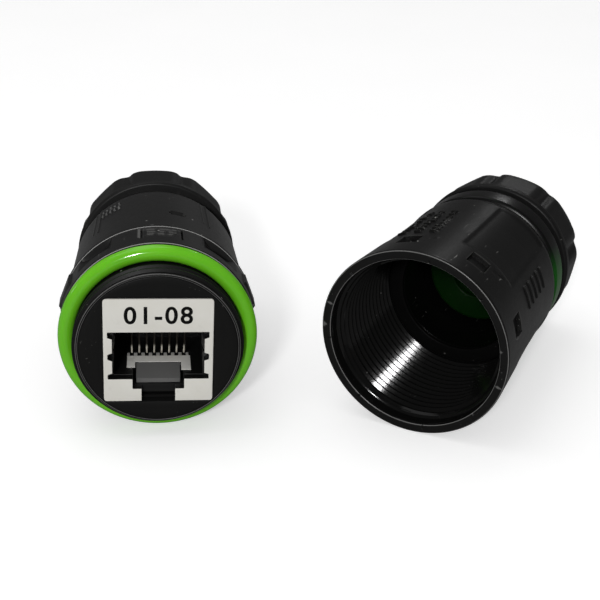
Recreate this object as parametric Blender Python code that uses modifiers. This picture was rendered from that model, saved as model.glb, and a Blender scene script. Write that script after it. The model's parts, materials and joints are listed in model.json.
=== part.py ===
"""A weatherproof in-line RJ45 connector pair: a jack half and a sleeve half, lying side by side.

Lengths are in millimetres and become metres when a mesh or a curve is made. Each half is modelled
along its own axis: local +Z points out of its mouth, +Y is up and +X is right, seen from the front.
A depth is a distance behind the mouth face, so depth d is z = -d.
Run it with blender --background --python part.py, or from the text editor.
"""
import math

import bmesh
import bpy
from mathutils import Matrix, Vector

MM = 0.001
PARTS = "rj45_connector_pair"
CUTTERS = "cutters"
GAP = 0.1                     # running clearance between separate pieces
ROUND = 40                    # facets round a large turned piece
FINE = 28                     # facets round a small turned piece

# Where the two halves lie.
OUTER_R = 13.3                # largest round radius of both halves: they lie on it
JACK_ROLL = 2.8               # degrees the jack half is rolled clockwise, seen from the front
SLEEVE_AT = (33.46, -2.21)    # centre of the sleeve's mouth, from the centre of the jack's face
SLEEVE_YAW = 33.0             # degrees the sleeve half is turned away, seen from above
MATING_GAP = 0.5              # space between the two faces when the halves are lined up

# Main thread, a right-hand helix that both halves share.
PITCH = 1.2
MALE_ROOT_R = 10.9
MALE_CREST_R = 11.35
FEMALE_ROOT_R = 11.5
FEMALE_CREST_R = 11.02
RIDGE_FOOT = 0.34             # half width of a ridge at its foot
RIDGE_TOP = 0.13              # half width of a ridge at its crest
SUNK = 0.25                   # how far a ridge's foot is buried in its wall
MALE_TURNS = 1.4
MALE_START = 0.55             # depth of the jack thread's front end
FEMALE_TURNS = 13.6
FEMALE_START = 2.2
THREAD_STEPS = 24             # facets in one turn

# Jack half.
CARRIER_LENGTH = 10.8
GROOVE_BACK = 5.05
SEAT_R = 11.06                # radius of the step that the front O-ring sits on
RING_SECTION = 1.1            # section radius of the front O-ring
RING_MID_R = 12.2
RING_DEPTH = 3.9
HOUSING_BORE_R = 11.05
PAD_OUT = 13.6                # radius of the outer faces of the two grip pads on the collar
PAD_TURN = 20.0               # degrees the pads stand above the collar's sides
WAIST_R = 10.5                # radius of the waist between the body and the gland nut
SHOULDER = 31.0               # depth of the shoulder that the gland nut runs up to, in both halves

# RJ45 port, seen from the front.
LABEL_SIZE = (14.4, 15.0)
LABEL_RISE = -0.2             # the plate's middle is a little below the axis
LABEL_THICK = 1.2
LABEL_TOP = LABEL_RISE + LABEL_SIZE[1] / 2
PORT_HALF = 6.02
PORT_TOP = LABEL_TOP - 4.8
PORT_FLOOR = LABEL_TOP - 11.64
LATCH_HALF = 3.38
LATCH_FLOOR = LABEL_TOP - 13.1
SLOT_HALF = 2.2
EAR_HALF = 6.5
CORE_HALF = 6.6
CORE_LOW = -7.0
CORE_HIGH = 6.0
CORE_BACK = 15.0
SPRING_RISE = PORT_TOP - 2.6
CONTACT_PITCH = 1.016
CONTACTS = 8
CONTACT_ROOT = (PORT_TOP + 0.32, 2.0)    # height and depth of the wires' hinge line
CONTACT_TIP = (PORT_FLOOR + 0.18, 7.35)

# Cable gland, the same in both halves. Depths are from the gland's shoulder.
BARREL_OUT_R = 9.5
BARREL_IN_R = 8.3
BARREL_LENGTH = 6.5
CAGE_OUT_R = 8.15
CAGE_IN_R = 7.4
CAGE_FRONT = -2.0
CAGE_BACK = 8.3
FINGERS = 10
SEAL_R = 7.25
CABLE_R = 3.0
WASHER_DEPTH = 8.9
WASHER_THICK = 0.6
NUT_FRONT = 0.65
NUT_BACK = 11.4
NUT_FLANGE_R = 11.9
NUT_FLANGE_THICK = 1.4
NUT_BORE_R = 9.65
NUT_LOBES = 8
LOBE_R = 11.6
VALLEY_R = 10.3

# Sleeve half.
SLEEVE_BACK = 26.3
INNER_FLANGE_FRONT = 24.0
INNER_FLANGE_R = 10.45
NECK_R = 10.2
BODY_BORE_R = 8.7
BODY_FRONT = 17.6
POCKETS = 8
POCKET_TURN = 31.0            # angle of one pocket from the top, in degrees


# --- scene helpers ---------------------------------------------------------------------------

def clear_scene():
    for thing in list(bpy.data.objects):
        bpy.data.objects.remove(thing, do_unlink=True)


def collection(name):
    made = bpy.data.collections.new(name)
    bpy.context.scene.collection.children.link(made)
    return made


def empty(name, location, rotation=(0.0, 0.0, 0.0), parent=None):
    made = bpy.data.objects.new(name, None)
    made.location = Vector(location) * MM
    made.rotation_euler = rotation
    made.parent = parent
    bpy.data.collections[PARTS].objects.link(made)
    return made


def material(name, colour, roughness, metallic=0.0):
    made = bpy.data.materials.new(name)
    made.use_nodes = True
    shader = made.node_tree.nodes["Principled BSDF"]
    shader.inputs["Base Color"].default_value = (*colour, 1.0)
    shader.inputs["Roughness"].default_value = roughness
    shader.inputs["Metallic"].default_value = metallic
    return made


def place(name, mesh, parent, finish=None):
    """Puts a mesh made in millimetres into the part, or into the cutters when it has no finish."""
    mesh.transform(Matrix.Scale(MM, 4))
    mesh.update()
    thing = bpy.data.objects.new(name, mesh)
    thing.parent = parent
    if finish:
        bpy.data.collections[PARTS].objects.link(thing)
        thing.data.materials.append(finish(name))
    else:
        bpy.data.collections[CUTTERS].objects.link(thing)
        thing.hide_render = True
        thing.display_type = "WIRE"
    return thing


def boolean(target, tool, operation="DIFFERENCE"):
    step = target.modifiers.new(f"{operation.lower()}_{tool.name}", "BOOLEAN")
    step.operation = operation
    step.object = tool
    step.solver = "EXACT"


def bevelled(thing, width, angle=40.0):
    step = thing.modifiers.new("softened_edges", "BEVEL")
    step.width = width * MM
    step.segments = 1
    step.limit_method = "ANGLE"
    step.angle_limit = math.radians(angle)


# --- materials -------------------------------------------------------------------------------

def black_nylon(name):
    return material(f"{name}_nylon", (0.018, 0.018, 0.019), 0.42)


def green_rubber(name):
    return material(f"{name}_rubber", (0.09, 0.42, 0.03), 0.33)


def grey_plastic(name):
    return material(f"{name}_plastic", (0.60, 0.58, 0.55), 0.5)


def black_plastic(name):
    return material(f"{name}_plastic", (0.012, 0.012, 0.013), 0.4)


def shield_steel(name):
    return material(f"{name}_steel", (0.62, 0.62, 0.63), 0.28, 1.0)


def contact_gold(name):
    return material(f"{name}_gold", (0.86, 0.66, 0.30), 0.25, 1.0)


def board_laminate(name):
    return material(f"{name}_laminate", (0.03, 0.16, 0.06), 0.5)


# --- shapes, all in millimetres --------------------------------------------------------------

def loop_mesh(name, points):
    """A closed wire loop through (radius, depth) points, in the order that turns faces out."""
    mesh = bpy.data.meshes.new(name)
    following = points[1:] + points[:1]
    doubled_area = sum(r0 * d1 - r1 * d0 for (r0, d0), (r1, d1) in zip(points, following))
    if doubled_area < 0:
        points = points[::-1]
    edges = [(i, (i + 1) % len(points)) for i in range(len(points))]
    mesh.from_pydata([(radius, 0.0, -depth) for radius, depth in points], edges, [])
    return mesh


def turned(name, points, parent, finish=None, steps=ROUND):
    """A ring-shaped solid: a closed profile of (radius, depth) points swept round local Z."""
    thing = place(name, loop_mesh(name, points), parent, finish)
    sweep = thing.modifiers.new("turn", "SCREW")
    sweep.axis = "Z"
    sweep.steps = steps
    sweep.render_steps = steps
    sweep.use_merge_vertices = True
    sweep.merge_threshold = 0.00001
    sweep.use_smooth_shade = False
    return thing


def box(name, low, high, parent, finish=None):
    """A block from low to high, each (x, y, depth)."""
    form = bmesh.new()
    size = [abs(high[i] - low[i]) for i in range(3)]
    middle = [(high[i] + low[i]) / 2 for i in range(3)]
    bmesh.ops.create_cube(form, size=1.0)
    bmesh.ops.scale(form, vec=size, verts=form.verts)
    bmesh.ops.translate(form, vec=(middle[0], middle[1], -middle[2]), verts=form.verts)
    mesh = bpy.data.meshes.new(name)
    form.to_mesh(mesh)
    form.free()
    return place(name, mesh, parent, finish)


def prism(name, outline, front, back, parent, finish=None):
    """A flat outline of (x, y) points filled and extruded from one depth to another."""
    curve = bpy.data.curves.new(name, "CURVE")
    curve.dimensions = "2D"
    curve.fill_mode = "BOTH"
    curve.extrude = (back - front) / 2
    spline = curve.splines.new("POLY")
    spline.points.add(len(outline) - 1)
    for point, (x, y) in zip(spline.points, outline):
        point.co = (x, y, 0.0, 1.0)
    spline.use_cyclic_u = True
    holder = bpy.data.objects.new(f"{name}_outline", curve)
    bpy.context.scene.collection.objects.link(holder)
    graph = bpy.context.evaluated_depsgraph_get()
    mesh = bpy.data.meshes.new_from_object(holder.evaluated_get(graph))
    bpy.data.objects.remove(holder)
    form = bmesh.new()
    form.from_mesh(mesh)
    bmesh.ops.remove_doubles(form, verts=form.verts, dist=0.0001)
    bmesh.ops.translate(form, vec=(0.0, 0.0, -(front + back) / 2), verts=form.verts)
    form.to_mesh(mesh)
    form.free()
    mesh.materials.clear()
    return place(name, mesh, parent, finish)


def rounded_box_outline(width, height, rise, corner):
    """The outline of a plate with round corners, its middle raised by rise."""
    points = []
    for quarter in range(4):
        side_x = 1 if quarter in (0, 3) else -1
        side_y = 1 if quarter in (0, 1) else -1
        for part in range(4):
            turn = math.radians(90 * quarter + 30 * part)
            x = side_x * (width / 2 - corner) + corner * math.cos(turn)
            y = rise + side_y * (height / 2 - corner) + corner * math.sin(turn)
            points.append((x, y))
    return points


def ridge(name, wall_r, crest_r, start_depth, turns, parent, phase=0.0):
    """A right-hand thread ridge: a trapezoid swept along a helix, with its two ends closed."""
    inward = 1 if crest_r < wall_r else -1
    foot_r = wall_r + inward * SUNK
    outline = [(foot_r, RIDGE_FOOT), (crest_r, RIDGE_TOP), (crest_r, -RIDGE_TOP), (foot_r, -RIDGE_FOOT)]
    mesh = loop_mesh(name, outline)
    holder = bpy.data.objects.new(f"{name}_sweep", mesh)
    bpy.context.scene.collection.objects.link(holder)
    sweep = holder.modifiers.new("helix", "SCREW")
    sweep.axis = "Z"
    sweep.angle = 2 * math.pi * turns
    sweep.screw_offset = PITCH * turns
    sweep.steps = round(THREAD_STEPS * turns)
    sweep.render_steps = sweep.steps
    graph = bpy.context.evaluated_depsgraph_get()
    swept = bpy.data.meshes.new_from_object(holder.evaluated_get(graph))
    bpy.data.objects.remove(holder)
    form = bmesh.new()
    form.from_mesh(swept)
    open_edges = [edge for edge in form.edges if edge.is_boundary]
    bmesh.ops.holes_fill(form, edges=open_edges, sides=4)
    bmesh.ops.recalc_face_normals(form, faces=form.faces)
    lift = -(start_depth + PITCH * turns)
    place_on_axis = Matrix.Translation((0.0, 0.0, lift)) @ Matrix.Rotation(phase, 4, "Z")
    bmesh.ops.transform(form, matrix=place_on_axis, verts=form.verts)
    form.to_mesh(swept)
    form.free()
    return place(name, swept, parent)


def cylinder_cutter(name, radius, centre, front, back, parent, facets=FINE):
    """A round cutter along the half's axis, its centre at (x, y)."""
    form = bmesh.new()
    bmesh.ops.create_cone(form, cap_ends=True, segments=facets, radius1=radius, radius2=radius,
                          depth=back - front)
    bmesh.ops.translate(form, vec=(centre[0], centre[1], -(front + back) / 2), verts=form.verts)
    mesh = bpy.data.meshes.new(name)
    form.to_mesh(mesh)
    form.free()
    return place(name, mesh, parent)


def compass(radius, degrees):
    """The point at a radius and an angle clockwise from the top, seen from the front."""
    turn = math.radians(degrees)
    return radius * math.sin(turn), radius * math.cos(turn)


def helix_phase(start_depth, turns, plane_depth):
    """The turn that puts a ridge's lower end on a common helix through z = -plane_depth."""
    lower_end = -(start_depth + PITCH * turns)
    return 2 * math.pi * ((lower_end + plane_depth) / PITCH)


# --- jack half -------------------------------------------------------------------------------

def port_outline():
    """The label plate with its RJ45 opening, which is open to the plate's lower edge."""
    half_w = LABEL_SIZE[0] / 2
    low = LABEL_RISE - LABEL_SIZE[1] / 2
    right = [
        (SLOT_HALF, low), (SLOT_HALF, LATCH_FLOOR), (LATCH_HALF, LATCH_FLOOR),
        (LATCH_HALF, PORT_FLOOR), (EAR_HALF, PORT_FLOOR), (PORT_HALF, PORT_FLOOR + 0.5),
        (PORT_HALF, PORT_TOP - 3.9), (EAR_HALF, PORT_TOP - 3.7), (EAR_HALF, PORT_TOP - 3.3),
        (PORT_HALF, PORT_TOP - 3.1), (PORT_HALF, PORT_TOP - 0.8), (EAR_HALF, PORT_TOP - 0.6),
        (EAR_HALF, PORT_TOP),
    ]
    left = [(-x, y) for x, y in reversed(right)]
    cut = 0.45
    left_rim = [(-half_w + cut, low), (-half_w, low + cut), (-half_w, LABEL_TOP - cut),
                (-half_w + cut, LABEL_TOP)]
    right_rim = [(-x, y) for x, y in reversed(left_rim)]
    return right + left + left_rim + right_rim


def jack_carrier(axis):
    """The threaded nose: a disc with the port's window, an O-ring step and a plug behind it."""
    root = MALE_ROOT_R
    profile = [
        (5.0, 0.0), (root - 0.2, 0.0), (root, 0.2), (root, 2.65), (SEAT_R, 2.7),
        (SEAT_R, GROOVE_BACK - 0.05), (root, GROOVE_BACK), (root, 7.3), (10.25, 7.3), (10.25, 8.2),
        (root, 8.2), (root, CARRIER_LENGTH), (5.0, CARRIER_LENGTH),
    ]
    carrier = turned("jack_carrier", profile, axis, black_nylon)
    phase = helix_phase(MALE_START, MALE_TURNS, 0.0)
    thread = ridge("male_ridge", root, MALE_CREST_R, MALE_START, MALE_TURNS, axis, phase)
    boolean(carrier, thread, "UNION")
    plate = rounded_box_outline(LABEL_SIZE[0] + 0.2, LABEL_SIZE[1] + 0.2, LABEL_RISE, 0.7)
    boolean(carrier, prism("plate_recess", plate, -1.0, LABEL_THICK + GAP, axis))
    window = rounded_box_outline(14.1, 13.9, (CORE_HIGH + CORE_LOW) / 2, 0.9)
    boolean(carrier, prism("core_window", window, 0.6, CARRIER_LENGTH + 1.0, axis))


def front_o_ring(axis):
    torus("front_o_ring", RING_MID_R, RING_SECTION, RING_DEPTH, axis, ROUND, 10)


def carrier_o_ring(axis):
    torus("carrier_o_ring", 10.65, 0.35, 7.75, axis, ROUND, 6)


def torus(name, mid_r, section_r, depth, axis, steps, sides):
    """A green rubber ring of round section."""
    points = []
    for side in range(sides):
        turn = 2 * math.pi * side / sides
        points.append((mid_r + section_r * math.cos(turn), depth + section_r * math.sin(turn)))
    turned(name, points, axis, green_rubber, steps)


def jack_housing(axis):
    """Collar with scooped grips, tapered body and the threadless barrel of the rear gland."""
    front = GROOVE_BACK + 0.05
    profile = [
        (HOUSING_BORE_R, front), (12.7, front), (OUTER_R, front + 0.7), (OUTER_R, 11.1),
        (13.1, 11.3), (12.75, 11.4), (12.4, 18.0), (12.0, 26.8), (11.7, 28.2), (11.2, 28.9),
        (WAIST_R, 28.9), (WAIST_R, SHOULDER), (BARREL_OUT_R, SHOULDER),
        (BARREL_OUT_R, SHOULDER + BARREL_LENGTH - 0.4), (BARREL_OUT_R - 0.4, SHOULDER + BARREL_LENGTH),
        (BARREL_IN_R, SHOULDER + BARREL_LENGTH), (BARREL_IN_R, 27.5), (10.6, 26.0), (10.6, 13.0),
        (HOUSING_BORE_R, 12.6),
    ]
    housing = turned("jack_housing", profile, axis, black_nylon)
    for side in (-1, 1):
        low, high = (side * 12.0, -2.2, 6.4), (side * PAD_OUT, 2.2, 10.6)
        pad = box(f"grip_pad_{side}", low, high, axis)
        pad.rotation_euler = (0.0, 0.0, side * math.radians(PAD_TURN))
        bevelled(pad, 0.35)
        boolean(housing, pad, "UNION")
    for number, degrees in enumerate((40, 140, 220, 320)):
        centre = compass(OUTER_R + 4.4, degrees)
        boolean(housing, cylinder_cutter(f"grip_scoop_{number}", 5.6, centre, 6.9, 10.5, axis))


def module_face(axis):
    prism("module_face", port_outline(), 0.0, LABEL_THICK, axis, grey_plastic)


def core_outline(grown, corner):
    """The core's outline, grown outwards by a distance."""
    width = 2 * (CORE_HALF + grown)
    height = CORE_HIGH - CORE_LOW + 2 * grown
    return rounded_box_outline(width, height, (CORE_HIGH + CORE_LOW) / 2, corner)


def jack_insert(axis):
    """The moulded core: the plug's cavity, the latch channel and a roof pocket for the wires."""
    outline = core_outline(0.0, 0.7)
    core = prism("jack_insert", outline, LABEL_THICK + GAP, CORE_BACK, axis, black_plastic)
    port = (-PORT_HALF + 0.1, PORT_FLOOR, 0.0), (PORT_HALF - 0.1, PORT_TOP, 12.5)
    boolean(core, box("plug_cavity", *port, axis))
    channel = (-LATCH_HALF, LATCH_FLOOR, 0.0), (LATCH_HALF, PORT_FLOOR + 0.5, 6.0)
    boolean(core, box("latch_channel", *channel, axis))
    well = (-4.5, LATCH_FLOOR + 0.1, 5.9), (4.5, PORT_FLOOR + 0.5, 8.0)
    boolean(core, box("comb_well", *well, axis))
    roof = (-4.4, PORT_TOP - 0.5, 1.7), (4.4, PORT_TOP + 0.75, 4.2)
    boolean(core, box("wire_pocket", *roof, axis))
    recess = (-6.35, SPRING_RISE - 1.0, 0.9), (6.35, SPRING_RISE + 1.0, 6.7)
    boolean(core, box("spring_recess", *recess, axis))


def latch_ramp(axis):
    """The sloping stop that the plug's latch snaps over."""
    floor = LATCH_FLOOR + 0.05
    ramp = box("latch_ramp", (-2.95, floor, 1.6), (2.95, PORT_FLOOR + 0.1, 4.6), axis, black_plastic)
    front_edge = min(vertex.co.z for vertex in ramp.data.vertices)
    for vertex in ramp.data.vertices:
        if vertex.co.z > front_edge + MM and vertex.co.y > PORT_FLOOR * MM:
            vertex.co.y -= 0.9 * MM


def contact_comb(axis):
    """The slotted bar that guides the free ends of the contact wires, below the plug's floor."""
    bar = box("contact_comb", (-4.2, LATCH_FLOOR + 0.2, 6.2), (4.2, PORT_FLOOR - 0.05, 7.7), axis,
              grey_plastic)
    for number, x in enumerate(contact_places()):
        slot = (x - 0.28, PORT_FLOOR - 0.75, 6.6), (x + 0.28, PORT_FLOOR + 0.5, 9.0)
        boolean(bar, box(f"comb_slot_{number}", *slot, axis))


def contact_places():
    middle = (CONTACTS - 1) / 2
    return [(number - middle) * CONTACT_PITCH for number in range(CONTACTS)]


def wire(name, points, radius, parent, finish):
    """A round wire through (x, y, z) points in millimetres."""
    curve = bpy.data.curves.new(name, "CURVE")
    curve.dimensions = "3D"
    curve.bevel_depth = radius * MM
    curve.bevel_resolution = 2
    curve.use_fill_caps = True
    spline = curve.splines.new("POLY")
    spline.points.add(len(points) - 1)
    for point, place_mm in zip(spline.points, points):
        point.co = (*(Vector(place_mm) * MM), 1.0)
    thing = bpy.data.objects.new(name, curve)
    thing.parent = parent
    bpy.data.collections[PARTS].objects.link(thing)
    curve.materials.append(finish(name))
    return thing


def contact_wires(hinge):
    """Eight sprung wires; the hinge empty stands on the line where they bend."""
    drop = CONTACT_TIP[0] - CONTACT_ROOT[0]
    reach = CONTACT_TIP[1] - CONTACT_ROOT[1]
    for number, x in enumerate(contact_places(), start=1):
        path = [(x, 0.0, 0.0), (x, drop * 0.5, -reach * 0.47), (x, drop * 0.9, -reach * 0.88),
                (x, drop, -reach)]
        wire(f"contact_{number}", path, 0.16, hinge, contact_gold)


def shield_shell(axis):
    """A sheet-metal sleeve round the core, open at the front and the back."""
    clear = 0.08
    sheet = 0.22
    shell = prism("shield_shell", core_outline(clear + sheet, 1.0), 1.5, 16.0, axis, shield_steel)
    boolean(shell, prism("shell_inside", core_outline(clear, 0.8), 0.0, 20.0, axis))
    notch = (-SLOT_HALF, CORE_LOW - 1.0, 0.0), (SLOT_HALF, CORE_LOW + 1.0, 4.0)
    boolean(shell, box("latch_notch", *notch, axis))


def shield_springs(axis):
    """Bent sheet springs either side of the port, which touch a screened plug."""
    for side, name in ((-1, "shield_spring_left"), (1, "shield_spring_right")):
        outline = [(6.2, 1.5), (6.06, 1.5), (5.78, 3.6), (5.98, 6.4), (6.12, 6.4), (5.92, 3.6)]
        form = prism(name, [(side * x, -depth) for x, depth in outline], -0.8, 0.8, axis, shield_steel)
        form.rotation_euler = (math.radians(90), 0.0, 0.0)
        form.location = Vector((0.0, SPRING_RISE, 0.0)) * MM


def circuit_board(axis):
    prism("circuit_board", core_outline(-0.1, 0.7), 15.15, 16.35, axis, board_laminate)


def idc_block(axis):
    """The rear terminal block: a moulded body with two rows of four wire slots."""
    block = box("idc_block", (-6.4, -6.0, 16.5), (6.4, 5.0, 22.5), axis, grey_plastic)
    bevelled(block, 0.3)
    for number, (x, y) in enumerate(idc_places()):
        slot = (x - 0.8, y - 1.75, 18.4), (x + 0.8, y + 1.75, 24.0)
        boolean(block, box(f"idc_slot_{number}", *slot, axis))


def idc_places():
    return [(x, y) for y in (2.2, -3.2) for x in (-4.35, -1.45, 1.45, 4.35)]


def idc_contacts(axis):
    """Forked blades that cut into the cable's wires, one in each slot of the block."""
    for number, (x, y) in enumerate(idc_places(), start=1):
        outline = [(-1.3, 0.0), (1.3, 0.0), (1.3, 3.4), (0.9, 3.7), (0.3, 2.9), (0.15, 1.2),
                   (-0.15, 1.2), (-0.3, 2.9), (-0.9, 3.7), (-1.3, 3.4)]
        blade = prism(f"idc_contact_{number}", outline, -0.2, 0.2, axis, contact_gold)
        blade.rotation_euler = (math.radians(-90), 0.0, math.radians(90))
        blade.location = Vector((x, y, -18.5)) * MM


# --- cable gland, used by both halves --------------------------------------------------------

def clamp_cage(name, axis):
    """A plastic cage whose fingers close on the seal as the nut is tightened."""
    front = SHOULDER + CAGE_FRONT
    back = SHOULDER + CAGE_BACK
    profile = [(CAGE_IN_R, front), (CAGE_OUT_R, front), (CAGE_OUT_R, back - 1.6),
               (CAGE_OUT_R - 0.45, back), (CAGE_IN_R, back)]
    cage = turned(name, profile, axis, black_plastic, FINE + 8)
    for number in range(FINGERS // 2):
        slot = box(f"{name}_slot_{number}", (-10.0, -0.35, front + 3.5), (10.0, 0.35, back + 1.0), axis)
        slot.rotation_euler = (0.0, 0.0, math.pi * number / (FINGERS // 2) + 0.05)
        boolean(cage, slot)


def cable_seal(name, axis, front):
    """A green rubber bush with ribs, squeezed round the cable."""
    back = SHOULDER + CAGE_BACK - 0.5
    profile = [(CABLE_R, front + 0.5), (CABLE_R + 0.5, front), (SEAL_R - 0.4, front),
               (SEAL_R, front + 0.4), (SEAL_R, back - 0.4), (SEAL_R - 0.4, back),
               (CABLE_R + 0.5, back), (CABLE_R, back - 0.5)]
    turned(name, profile, axis, green_rubber, FINE)


def slip_washer(name, axis):
    """The ring between the cage's fingers and the nut, which lets the nut turn freely."""
    front = SHOULDER + WASHER_DEPTH
    back = front + WASHER_THICK
    profile = [(5.6, front), (9.3, front), (9.3, back), (5.6, back)]
    turned(name, profile, axis, grey_plastic, FINE)


def lobed_outline(lobe_turn):
    """Eight flat-topped lobes with narrow valleys, one lobe lobe_turn degrees from the top."""
    points = []
    shift = math.radians(90 - lobe_turn)
    count = NUT_LOBES * 12
    for number in range(count):
        turn = 2 * math.pi * number / count
        swell = min(1.0, max(0.0, (math.cos(turn * NUT_LOBES) + 0.66) / 0.55))
        radius = VALLEY_R + (LOBE_R - VALLEY_R) * swell
        points.append((radius * math.cos(turn + shift), radius * math.sin(turn + shift)))
    return points


def gland_nut(name, axis, lobe_turn):
    """A lobed cap nut with a round front flange, a hole for the cable and one lobe at lobe_turn."""
    front = SHOULDER + NUT_FRONT
    flange_back = front + NUT_FLANGE_THICK
    back = SHOULDER + NUT_BACK
    floor = SHOULDER + WASHER_DEPTH + WASHER_THICK + 0.2
    nut = prism(name, lobed_outline(lobe_turn), flange_back - 0.4, back, axis, black_nylon)
    disc = [(6.0, front + 0.3), (NUT_FLANGE_R - 0.3, front), (NUT_FLANGE_R, front + 0.3),
            (NUT_FLANGE_R, flange_back - 0.3), (NUT_FLANGE_R - 0.3, flange_back), (6.0, flange_back)]
    boolean(nut, turned(f"{name}_flange", disc, axis), "UNION")
    bore = cylinder_cutter(f"{name}_bore", NUT_BORE_R, (0.0, 0.0), front - 2.0, floor, axis, ROUND)
    boolean(nut, bore)
    hole = cylinder_cutter(f"{name}_hole", 5.2, (0.0, 0.0), floor - 1.0, back + 2.0, axis)
    boolean(nut, hole)
    slope = [(13.0, back + 0.2), (13.0, back - 6.0), (9.2, back + 0.2)]
    boolean(nut, turned(f"{name}_slope", slope, axis))


# --- sleeve half -----------------------------------------------------------------------------

def coupling_sleeve(axis):
    """The captive screw sleeve: threaded bore, eight pockets and an inner flange at the back."""
    profile = [
        (11.9, 0.35), (12.2, 0.0), (13.1, 0.0), (OUTER_R, 0.2), (13.05, 4.0), (12.5, 12.0),
        (12.2, 19.0), (12.05, 24.6), (11.6, 25.9), (11.1, SLEEVE_BACK), (INNER_FLANGE_R, SLEEVE_BACK),
        (INNER_FLANGE_R, INNER_FLANGE_FRONT), (FEMALE_ROOT_R, INNER_FLANGE_FRONT),
        (FEMALE_ROOT_R, 2.0), (11.9, 1.6),
    ]
    sleeve = turned("coupling_sleeve", profile, axis, black_nylon)
    phase = helix_phase(FEMALE_START, FEMALE_TURNS, -MATING_GAP)
    thread = ridge("female_ridge", FEMALE_ROOT_R, FEMALE_CREST_R, FEMALE_START, FEMALE_TURNS, axis,
                   phase)
    boolean(sleeve, thread, "UNION")
    for number in range(POCKETS):
        pocket = box(f"pocket_{number}", (-1.35, 12.35, 3.8), (1.35, 15.0, 7.0), axis)
        pocket.rotation_euler = (0.0, 0.0, -math.radians(POCKET_TURN + 360 * number / POCKETS))
        boolean(sleeve, pocket)


def retaining_ring(axis):
    """Holds the sleeve on the rear body: it is screwed to the body's front end."""
    front = BODY_FRONT
    profile = [(BODY_BORE_R, front), (10.75, front), (10.75, front + 1.5), (9.75, front + 1.5),
               (9.75, front + 0.7), (BODY_BORE_R, front + 0.7)]
    turned("retaining_ring", profile, axis, black_plastic)


def thrust_washer(axis):
    profile = [(10.3, 23.2), (10.9, 23.2), (10.9, 23.9), (10.3, 23.9)]
    turned("thrust_washer", profile, axis, grey_plastic)


def rear_body(axis):
    """The fixed tube of the sleeve half: neck, glossy collar and gland barrel."""
    profile = [
        (BODY_BORE_R, BODY_FRONT + 0.8), (9.65, BODY_FRONT + 0.8), (9.65, BODY_FRONT + 1.6),
        (NECK_R, BODY_FRONT + 1.6), (NECK_R, 28.35), (11.4, 28.35), (11.5, 28.5), (11.5, 30.7),
        (11.2, SHOULDER), (BARREL_OUT_R, SHOULDER), (BARREL_OUT_R, SHOULDER + BARREL_LENGTH - 0.4),
        (BARREL_OUT_R - 0.4, SHOULDER + BARREL_LENGTH), (BARREL_IN_R, SHOULDER + BARREL_LENGTH),
        (BARREL_IN_R, 24.6), (BODY_BORE_R, 24.0),
    ]
    turned("rear_body", profile, axis, black_nylon)


def neck_gasket(axis):
    """The green ring that seals the sleeve's back against the rear body."""
    profile = [(NECK_R + 0.05, 26.75), (11.2, 26.75), (11.65, 27.1), (11.65, 28.0), (11.4, 28.3),
               (NECK_R + 0.05, 28.3)]
    turned("neck_gasket", profile, axis, green_rubber)


# --- assembly --------------------------------------------------------------------------------

def build_gland(half, axis, carriage, nut_turn, seal_front, lobe_turn):
    clamp_cage(f"{half}_clamp_cage", axis)
    cable_seal(f"{half}_cable_seal", axis, seal_front)
    slip_washer(f"{half}_slip_washer", carriage)
    gland_nut(f"{half}_gland_nut", nut_turn, lobe_turn)


def build_jack_half(root):
    facing = (math.radians(90), math.radians(JACK_ROLL), 0.0)
    axis = empty("jack_axis", (0.0, 0.0, OUTER_R), facing, root)
    jack_carrier(axis)
    front_o_ring(axis)
    carrier_o_ring(axis)
    jack_housing(axis)
    module_face(axis)
    jack_insert(axis)
    latch_ramp(axis)
    contact_comb(axis)
    height, depth = CONTACT_ROOT
    contact_wires(empty("contact_hinge", (0.0, height, -depth), parent=axis))
    shield_shell(axis)
    shield_springs(axis)
    circuit_board(axis)
    idc_block(axis)
    idc_contacts(axis)
    carriage = empty("jack_nut_slide", (0.0, 0.0, 0.0), parent=axis)
    nut_turn = empty("jack_nut_turn", (0.0, 0.0, 0.0), parent=carriage)
    build_gland("jack", axis, carriage, nut_turn, 27.0, -1.0)


def build_sleeve_half(root):
    facing = (math.radians(90), 0.0, -math.radians(SLEEVE_YAW))
    axis = empty("sleeve_axis", (*SLEEVE_AT, OUTER_R), facing, root)
    rear_body(axis)
    retaining_ring(axis)
    neck_gasket(axis)
    sleeve_slide = empty("sleeve_slide", (0.0, 0.0, 0.0), parent=axis)
    thrust_washer(sleeve_slide)
    coupling_sleeve(empty("sleeve_turn", (0.0, 0.0, 0.0), parent=sleeve_slide))
    carriage = empty("sleeve_nut_slide", (0.0, 0.0, 0.0), parent=axis)
    nut_turn = empty("sleeve_nut_turn", (0.0, 0.0, 0.0), parent=carriage)
    build_gland("sleeve", axis, carriage, nut_turn, 25.0, 11.5)


def swing_pole():
    """The upright axis about which the sleeve half swings round to face the jack half."""
    turn = Matrix.Rotation(-math.radians(180 - SLEEVE_YAW), 2)
    start = Vector(SLEEVE_AT)
    finish = Vector((0.0, -MATING_GAP))
    still = Matrix.Identity(2) - turn
    return still.inverted() @ (finish - turn @ start)


def centre_on_floor(root):
    """Moves the whole pair so that its box stands on the origin, and returns the shift in mm."""
    bpy.context.view_layer.update()
    graph = bpy.context.evaluated_depsgraph_get()
    corners = []
    for thing in bpy.data.collections[PARTS].objects:
        if thing.type == "EMPTY":
            continue
        solid = thing.evaluated_get(graph)
        mesh = solid.to_mesh()
        corners += [thing.matrix_world @ vertex.co for vertex in mesh.vertices]
        solid.to_mesh_clear()
    for axis in range(3):
        values = [corner[axis] for corner in corners]
        lowest = min(values)
        middle = (lowest + max(values)) / 2
        root.location[axis] -= lowest if axis == 2 else middle
    bpy.context.view_layer.update()
    return root.location / MM


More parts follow.
